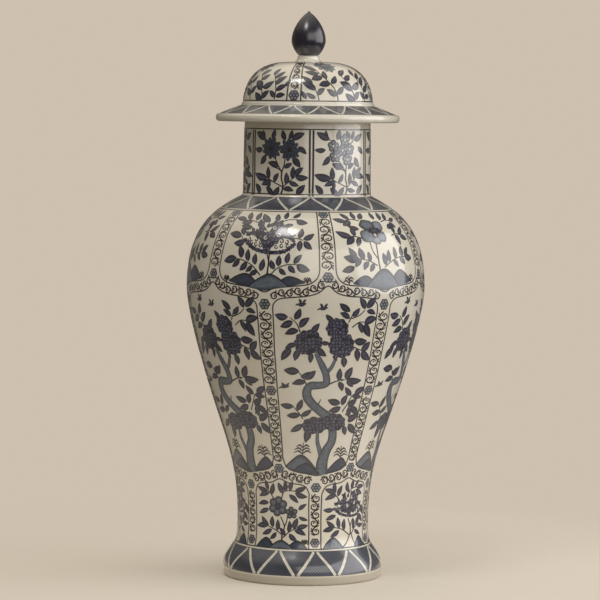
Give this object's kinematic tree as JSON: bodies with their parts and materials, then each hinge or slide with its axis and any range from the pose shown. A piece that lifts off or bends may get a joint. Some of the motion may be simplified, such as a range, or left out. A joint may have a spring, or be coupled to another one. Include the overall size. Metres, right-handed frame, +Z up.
{
  "type": "ginger jar",
  "caption": "Tall baluster ginger jar in cream glaze with painted blue panels, a flared foot, a straight neck and a domed lid with a broad brim and a dark bud finial.",
  "frame": {"origin": "middle of the foot's underside, on the surface that the jar stands on", "axes": "+Z up along the jar's axis through the finial; -Y faces the middle of the front tree panel; +X is to the right of someone facing that panel"},
  "size_m": [0.2378, 0.2378, 0.5628],
  "materials": {
    "cream_glaze": "glossy clear glaze over a cream body, with underglaze blue painting",
    "indigo_glaze": "glossy, near-black indigo glaze",
    "cobalt_painting": "hand-painted cobalt blue under the clear glaze, dark leaves and lines with paler washes"
  },
  "bodies": {
    "jar": {"jar_body": "cream_glaze"},
    "lid": {"lid": "cream_glaze", "finial": "indigo_glaze"}
  },
  "joints": [
    {"name": "lid_lift", "type": "slide", "parent": "jar", "child": "lid", "axis": [0, 0, 1], "range_m": [0, 0.15]}
  ]
}
